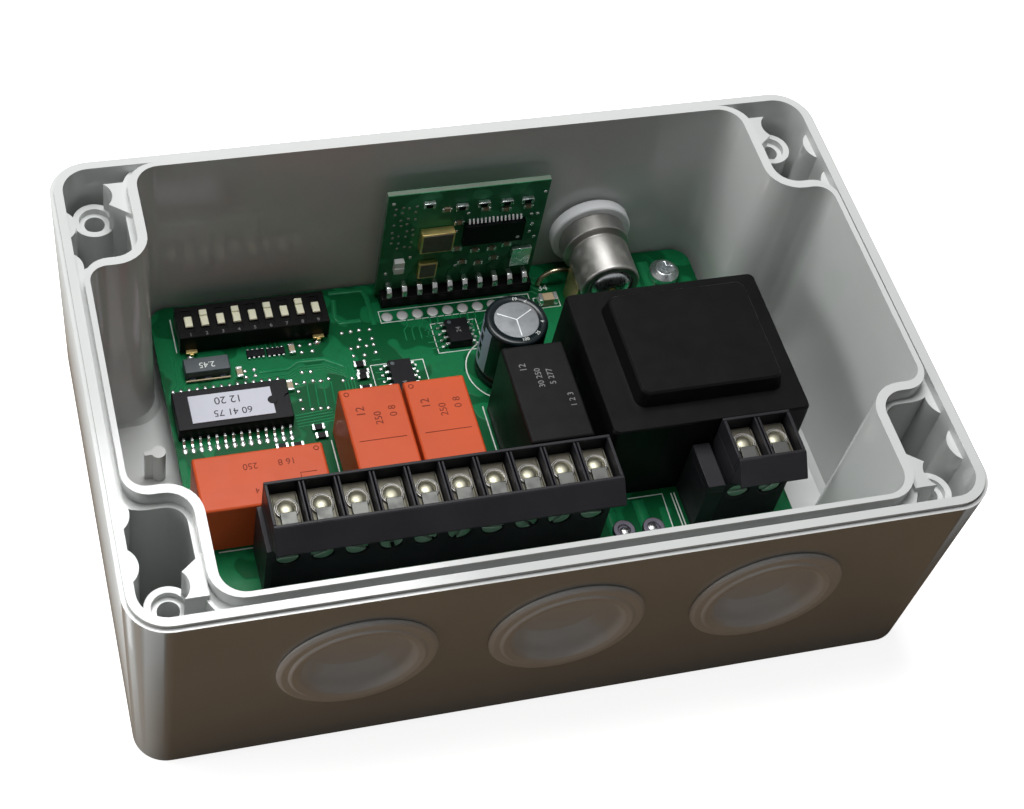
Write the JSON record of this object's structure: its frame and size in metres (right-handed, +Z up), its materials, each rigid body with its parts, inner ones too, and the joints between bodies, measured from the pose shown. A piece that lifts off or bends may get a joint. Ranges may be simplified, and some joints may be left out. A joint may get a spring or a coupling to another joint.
{
  "type": "radio receiver",
  "caption": "Open wall-box base holding a radio relay receiver: circuit board, relays, transformer, screw terminals, coding switch, upright radio module and rear antenna socket.",
  "frame": {"origin": "middle of the base's flat underside", "axes": "+X along the long side, +Y towards the antenna socket's wall, +Z up out of the open box"},
  "size_m": [0.12, 0.0882, 0.0408],
  "materials": {
    "housing": "moulded light grey plastic, satin gloss",
    "grommet": "soft light grey membrane",
    "board": "green solder mask with white legend",
    "radio_board": "dark green solder mask",
    "steel": "zinc plated",
    "nickel": "turned and nickel plated",
    "gold": "gold plated",
    "white_plastic": "white",
    "tan_plate": "tinned brass strip",
    "copper_wire": "enamelled wire",
    "solder": "bright tin",
    "chip": "black epoxy, fine grain",
    "chip_parts": "tan and black ceramic with tinned ends",
    "black_plastic": "black, satin",
    "cream_plastic": "cream, satin",
    "label": "blank white label",
    "resonator": "blue grey ceramic",
    "relay": "orange translucent-looking case",
    "power_relay": "black case",
    "capacitor": "dark sleeve, pale stripe, aluminium top",
    "transformer": "black resin case with fine specks",
    "terminal": "black, satin",
    "clamp": "bright nickel",
    "screw": "zinc plated"
  },
  "bodies": {
    "receiver": {"enclosure_base": "housing", "grommet_left": "grommet", "grommet_middle": "grommet", "grommet_right": "grommet", "main_board": "board", "board_screws": "steel", "antenna_socket": "nickel", "antenna_insulator": "white_plastic", "antenna_contact": "gold", "antenna_washer": "white_plastic", "antenna_bracket": "tan_plate", "antenna_link": "copper_wire", "radio_board": "radio_board", "radio_header": "black_plastic", "radio_pins": "solder", "radio_chip": "chip", "radio_crystals": "gold", "radio_chip_parts": "chip_parts", "dip_switch_body": "black_plastic", "dip_switch_pins": "gold", "controller_chip": "chip", "controller_leads": "solder", "controller_label": "label", "resonator": "resonator", "memory_chip": "chip", "driver_chip": "chip", "chip_parts": "chip_parts", "relay_left": "relay", "relay_middle": "relay", "relay_right": "relay", "power_relay": "power_relay", "capacitor": "capacitor", "transformer": "transformer", "terminal_block": "terminal", "terminal_clamps": "clamp", "mains_block": "terminal", "mains_clamps": "clamp", "ring_terminals": "steel"},
    "slider_1": {"dip_slider_1": "cream_plastic"},
    "slider_2": {"dip_slider_2": "cream_plastic"},
    "slider_3": {"dip_slider_3": "cream_plastic"},
    "slider_4": {"dip_slider_4": "cream_plastic"},
    "slider_5": {"dip_slider_5": "cream_plastic"},
    "slider_6": {"dip_slider_6": "cream_plastic"},
    "slider_7": {"dip_slider_7": "cream_plastic"},
    "slider_8": {"dip_slider_8": "cream_plastic"},
    "slider_9": {"dip_slider_9": "cream_plastic"},
    "terminal_screw_1": {"terminal_screw_1": "screw"},
    "terminal_screw_2": {"terminal_screw_2": "screw"},
    "terminal_screw_3": {"terminal_screw_3": "screw"},
    "terminal_screw_4": {"terminal_screw_4": "screw"},
    "terminal_screw_5": {"terminal_screw_5": "screw"},
    "terminal_screw_6": {"terminal_screw_6": "screw"},
    "terminal_screw_7": {"terminal_screw_7": "screw"},
    "terminal_screw_8": {"terminal_screw_8": "screw"},
    "terminal_screw_9": {"terminal_screw_9": "screw"},
    "terminal_screw_10": {"terminal_screw_10": "screw"},
    "mains_screw_1": {"mains_screw_1": "screw"},
    "mains_screw_2": {"mains_screw_2": "screw"}
  },
  "joints": [
    {"name": "slider_1_slide", "type": "slide", "parent": "receiver", "child": "slider_1", "axis": [0, 1, 0], "range_m": [-0.0009, 0.0009]},
    {"name": "slider_2_slide", "type": "slide", "parent": "receiver", "child": "slider_2", "axis": [0, 1, 0], "range_m": [-0.0009, 0.0009]},
    {"name": "slider_3_slide", "type": "slide", "parent": "receiver", "child": "slider_3", "axis": [0, 1, 0], "range_m": [-0.0009, 0.0009]},
    {"name": "slider_4_slide", "type": "slide", "parent": "receiver", "child": "slider_4", "axis": [0, 1, 0], "range_m": [-0.0009, 0.0009]},
    {"name": "slider_5_slide", "type": "slide", "parent": "receiver", "child": "slider_5", "axis": [0, 1, 0], "range_m": [-0.0009, 0.0009]},
    {"name": "slider_6_slide", "type": "slide", "parent": "receiver", "child": "slider_6", "axis": [0, 1, 0], "range_m": [-0.0009, 0.0009]},
    {"name": "slider_7_slide", "type": "slide", "parent": "receiver", "child": "slider_7", "axis": [0, 1, 0], "range_m": [-0.0009, 0.0009]},
    {"name": "slider_8_slide", "type": "slide", "parent": "receiver", "child": "slider_8", "axis": [0, 1, 0], "range_m": [-0.0009, 0.0009]},
    {"name": "slider_9_slide", "type": "slide", "parent": "receiver", "child": "slider_9", "axis": [0, 1, 0], "range_m": [-0.0009, 0.0009]},
    {"name": "terminal_screw_1_turn", "type": "hinge", "parent": "receiver", "child": "terminal_screw_1", "pos_m": [-0.03416, -0.0183, 0.0166], "axis": [0, 1, 0], "range_deg": [-1800, 1080]},
    {"name": "terminal_screw_2_turn", "type": "hinge", "parent": "receiver", "child": "terminal_screw_2", "pos_m": [-0.02908, -0.0183, 0.0166], "axis": [0, 1, 0], "range_deg": [-1800, 1080]},
    {"name": "terminal_screw_3_turn", "type": "hinge", "parent": "receiver", "child": "terminal_screw_3", "pos_m": [-0.024, -0.0183, 0.0166], "axis": [0, 1, 0], "range_deg": [-1800, 1080]},
    {"name": "terminal_screw_4_turn", "type": "hinge", "parent": "receiver", "child": "terminal_screw_4", "pos_m": [-0.01892, -0.0183, 0.0166], "axis": [0, 1, 0], "range_deg": [-1800, 1080]},
    {"name": "terminal_screw_5_turn", "type": "hinge", "parent": "receiver", "child": "terminal_screw_5", "pos_m": [-0.01384, -0.0183, 0.0166], "axis": [0, 1, 0], "range_deg": [-1800, 1080]},
    {"name": "terminal_screw_6_turn", "type": "hinge", "parent": "receiver", "child": "terminal_screw_6", "pos_m": [-0.00876, -0.0183, 0.0166], "axis": [0, 1, 0], "range_deg": [-1800, 1080]},
    {"name": "terminal_screw_7_turn", "type": "hinge", "parent": "receiver", "child": "terminal_screw_7", "pos_m": [-0.00368, -0.0183, 0.0166], "axis": [0, 1, 0], "range_deg": [-1800, 1080]},
    {"name": "terminal_screw_8_turn", "type": "hinge", "parent": "receiver", "child": "terminal_screw_8", "pos_m": [0.0014, -0.0183, 0.0166], "axis": [0, 1, 0], "range_deg": [-1800, 1080]},
    {"name": "terminal_screw_9_turn", "type": "hinge", "parent": "receiver", "child": "terminal_screw_9", "pos_m": [0.00648, -0.0183, 0.0166], "axis": [0, 1, 0], "range_deg": [-1800, 1080]},
    {"name": "terminal_screw_10_turn", "type": "hinge", "parent": "receiver", "child": "terminal_screw_10", "pos_m": [0.01156, -0.0183, 0.0166], "axis": [0, 1, 0], "range_deg": [-1800, 1080]},
    {"name": "mains_screw_1_turn", "type": "hinge", "parent": "receiver", "child": "mains_screw_1", "pos_m": [0.03476, -0.0183, 0.0166], "axis": [0, 1, 0], "range_deg": [-1800, 1080]},
    {"name": "mains_screw_2_turn", "type": "hinge", "parent": "receiver", "child": "mains_screw_2", "pos_m": [0.03984, -0.0183, 0.0166], "axis": [0, 1, 0], "range_deg": [-1800, 1080]}
  ]
}
